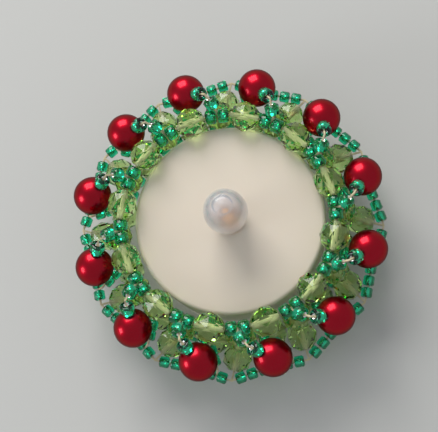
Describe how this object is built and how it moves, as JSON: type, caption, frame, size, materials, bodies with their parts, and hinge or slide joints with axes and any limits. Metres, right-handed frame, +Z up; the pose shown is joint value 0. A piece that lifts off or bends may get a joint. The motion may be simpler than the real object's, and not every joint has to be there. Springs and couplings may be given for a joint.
{
  "type": "beaded candle ring",
  "caption": "Woven ring of cut glass beads, seed beads and pearls that hangs on the rim of a battery tealight.",
  "frame": {"origin": "on the table, under the centre of the bead ring; the tealight's axis stands 0.3 mm to +X and 0.5 mm to +Y of it", "axes": "+Z up along the flame; the ring is symmetric about +Z every 30 degrees"},
  "size_m": [0.0632, 0.0632, 0.03],
  "materials": {
    "green_cut_glass": "clear cut glass",
    "emerald_seed_glass": "silver-lined glass",
    "red_pearl": "lacquered imitation pearl",
    "cream_thread": "twisted thread",
    "ivory_plastic": "satin",
    "switch_plastic": "matt",
    "frosted_plastic": "frosted translucent",
    "lamp_resin": "clear amber resin",
    "contact_metal": "plated",
    "cell_steel": "brushed"
  },
  "bodies": {
    "tealight": {"candle_shell": "ivory_plastic", "flame_cap": "frosted_plastic", "led_lamp": "lamp_resin", "led_legs": "contact_metal", "plus_strip": "contact_metal", "minus_strip": "contact_metal", "coin_cell": "cell_steel", "base_plate": "ivory_plastic"},
    "beaded_ring": {"top_bead_01": "green_cut_glass", "top_bead_02": "green_cut_glass", "top_bead_03": "green_cut_glass", "top_bead_04": "green_cut_glass", "top_bead_05": "green_cut_glass", "top_bead_06": "green_cut_glass", "top_bead_07": "green_cut_glass", "top_bead_08": "green_cut_glass", "top_bead_09": "green_cut_glass", "top_bead_10": "green_cut_glass", "top_bead_11": "green_cut_glass", "top_bead_12": "green_cut_glass", "radial_bead_01": "green_cut_glass", "radial_bead_02": "green_cut_glass", "radial_bead_03": "green_cut_glass", "radial_bead_04": "green_cut_glass", "radial_bead_05": "green_cut_glass", "radial_bead_06": "green_cut_glass", "radial_bead_07": "green_cut_glass", "radial_bead_08": "green_cut_glass", "radial_bead_09": "green_cut_glass", "radial_bead_10": "green_cut_glass", "radial_bead_11": "green_cut_glass", "radial_bead_12": "green_cut_glass", "post_beads": "green_cut_glass", "lower_beads": "green_cut_glass", "top_seeds": "emerald_seed_glass", "lower_seeds": "emerald_seed_glass", "outer_seeds": "emerald_seed_glass", "stem_seeds": "emerald_seed_glass", "brace_seeds": "emerald_seed_glass", "beading_thread": "cream_thread"},
    "battery_door": {"battery_door": "ivory_plastic"},
    "switch_slider": {"switch_slider": "switch_plastic"},
    "pearl_01": {"pearl_01": "red_pearl"},
    "pearl_02": {"pearl_02": "red_pearl"},
    "pearl_03": {"pearl_03": "red_pearl"},
    "pearl_04": {"pearl_04": "red_pearl"},
    "pearl_05": {"pearl_05": "red_pearl"},
    "pearl_06": {"pearl_06": "red_pearl"},
    "pearl_07": {"pearl_07": "red_pearl"},
    "pearl_08": {"pearl_08": "red_pearl"},
    "pearl_09": {"pearl_09": "red_pearl"},
    "pearl_10": {"pearl_10": "red_pearl"},
    "pearl_11": {"pearl_11": "red_pearl"},
    "pearl_12": {"pearl_12": "red_pearl"}
  },
  "joints": [
    {"name": "ring_lift", "type": "slide", "parent": "tealight", "child": "beaded_ring", "axis": [0, 0, 1], "range_m": [0, 0.03]},
    {"name": "door_drop", "type": "slide", "parent": "tealight", "child": "battery_door", "axis": [0, 0, -1], "range_m": [0, 0.008]},
    {"name": "switch_slide", "type": "slide", "parent": "tealight", "child": "switch_slider", "axis": [0, 1, 0], "range_m": [0, 0.002]},
    {"name": "pearl_01_spin", "type": "hinge", "parent": "beaded_ring", "child": "pearl_01", "pos_m": [0.00582, 0.02739, 0.01512], "axis": [0.4035, -0.5323, 0.7442], "continuous": true},
    {"name": "pearl_02_spin", "type": "hinge", "parent": "beaded_ring", "child": "pearl_02", "pos_m": [0.01874, 0.02081, 0.01512], "axis": [0.0833, -0.6627, 0.7442], "continuous": true},
    {"name": "pearl_03_spin", "type": "hinge", "parent": "beaded_ring", "child": "pearl_03", "pos_m": [0.02663, 0.00865, 0.01512], "axis": [-0.2592, -0.6156, 0.7442], "continuous": true},
    {"name": "pearl_04_spin", "type": "hinge", "parent": "beaded_ring", "child": "pearl_04", "pos_m": [0.02739, -0.00582, 0.01512], "axis": [-0.5323, -0.4035, 0.7442], "continuous": true},
    {"name": "pearl_05_spin", "type": "hinge", "parent": "beaded_ring", "child": "pearl_05", "pos_m": [0.02081, -0.01874, 0.01512], "axis": [-0.6627, -0.0833, 0.7442], "continuous": true},
    {"name": "pearl_06_spin", "type": "hinge", "parent": "beaded_ring", "child": "pearl_06", "pos_m": [0.00865, -0.02663, 0.01512], "axis": [-0.6156, 0.2592, 0.7442], "continuous": true},
    {"name": "pearl_07_spin", "type": "hinge", "parent": "beaded_ring", "child": "pearl_07", "pos_m": [-0.00582, -0.02739, 0.01512], "axis": [-0.4035, 0.5323, 0.7442], "continuous": true},
    {"name": "pearl_08_spin", "type": "hinge", "parent": "beaded_ring", "child": "pearl_08", "pos_m": [-0.01874, -0.02081, 0.01512], "axis": [-0.0833, 0.6627, 0.7442], "continuous": true},
    {"name": "pearl_09_spin", "type": "hinge", "parent": "beaded_ring", "child": "pearl_09", "pos_m": [-0.02663, -0.00865, 0.01512], "axis": [0.2592, 0.6156, 0.7442], "continuous": true},
    {"name": "pearl_10_spin", "type": "hinge", "parent": "beaded_ring", "child": "pearl_10", "pos_m": [-0.02739, 0.00582, 0.01512], "axis": [0.5323, 0.4035, 0.7442], "continuous": true},
    {"name": "pearl_11_spin", "type": "hinge", "parent": "beaded_ring", "child": "pearl_11", "pos_m": [-0.02081, 0.01874, 0.01512], "axis": [0.6627, 0.0833, 0.7442], "continuous": true},
    {"name": "pearl_12_spin", "type": "hinge", "parent": "beaded_ring", "child": "pearl_12", "pos_m": [-0.00865, 0.02663, 0.01512], "axis": [0.6156, -0.2592, 0.7442], "continuous": true}
  ]
}
